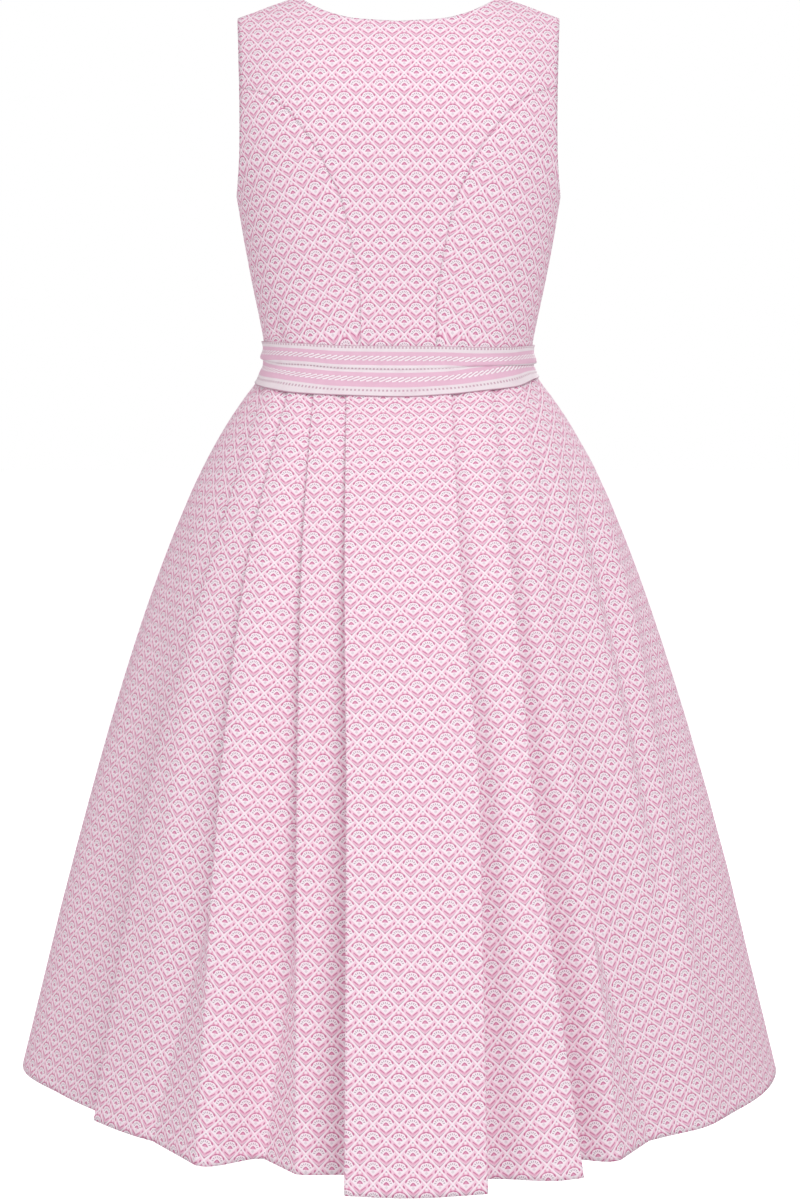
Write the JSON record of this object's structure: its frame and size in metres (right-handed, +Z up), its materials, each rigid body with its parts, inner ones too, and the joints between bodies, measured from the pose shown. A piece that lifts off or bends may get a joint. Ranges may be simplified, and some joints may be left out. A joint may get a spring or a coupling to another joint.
{
  "type": "dirndl",
  "caption": "Sleeveless midi dirndl with princess seams, a ribbon sash and a full pleated skirt, in its hollow worn form.",
  "frame": {"origin": "between the neck points of the two shoulder seams, where the wearer's shoulders carry the dress", "axes": "+Z up along the body, -Y out of the dress's back, +Y out of its front, +X to the wearer's right"},
  "size_m": [0.7672, 0.7789, 1.0648],
  "materials": {
    "printed_cotton": "matte woven cotton with a small all-over print in pinks and white",
    "ribbon": "jacquard ribbon in pink and off-white with a low sheen",
    "button": "covered in plain pink cloth"
  },
  "bodies": {
    "root": {"back_centre": "printed_cotton", "side_back_left": "printed_cotton", "side_back_right": "printed_cotton", "front_left": "printed_cotton", "front_right": "printed_cotton", "side_front_left": "printed_cotton", "side_front_right": "printed_cotton", "skirt_back": "printed_cotton", "skirt_front": "printed_cotton", "sash": "ribbon", "sash_knot": "ribbon", "sash_tail_left": "ribbon", "sash_tail_right": "ribbon", "button_1": "button", "button_2": "button", "button_3": "button", "button_4": "button", "button_5": "button", "button_6": "button"}
  },
  "joints": []
}
